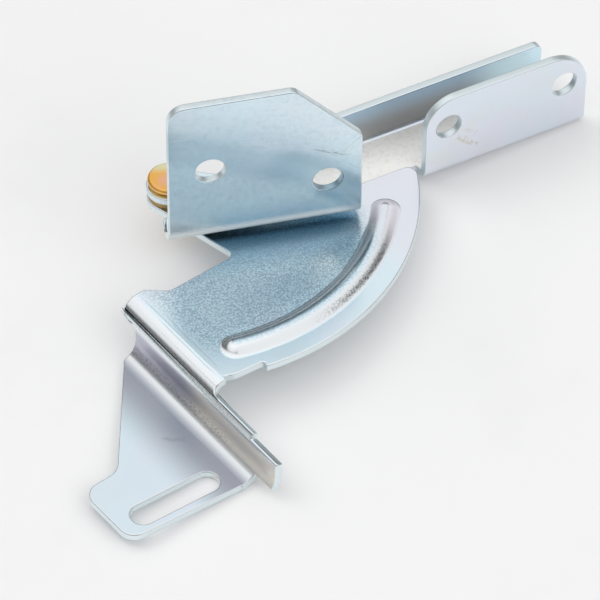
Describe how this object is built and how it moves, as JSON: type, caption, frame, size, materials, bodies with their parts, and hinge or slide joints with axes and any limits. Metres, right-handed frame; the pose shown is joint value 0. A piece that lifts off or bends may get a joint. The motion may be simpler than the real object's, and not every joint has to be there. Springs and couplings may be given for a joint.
{
  "type": "dryer door hinge",
  "caption": "Zinc plated pressed steel door hinge: a sector plate with a channel arm and a joggled slot plate, and a bracket that swings on a rivet.",
  "frame": {"origin": "midway between the channel arm's two screw holes, on the outside face of its front flange", "axes": "+X along the channel arm away from the pivot, -Y out of the front flange's outside face, +Z along the rivet towards its head"},
  "size_m": [0.1526, 0.0889, 0.0588],
  "materials": {
    "zinc_plated_steel": "bright zinc plating with a pale blue passivation",
    "yellow_passivated_steel": "zinc plating with a yellow passivation"
  },
  "bodies": {
    "arm": {"sector_plate": "zinc_plated_steel", "channel_arm": "zinc_plated_steel", "pivot_rivet": "yellow_passivated_steel", "spacer_washer": "yellow_passivated_steel"},
    "bracket": {"pivot_bracket": "zinc_plated_steel"}
  },
  "joints": [
    {"name": "bracket_swing", "type": "hinge", "parent": "arm", "child": "bracket", "pos_m": [-0.07834, 0.0201, -0.01135], "axis": [0, 0, 1], "range_deg": [-95.5, 14.5]}
  ]
}
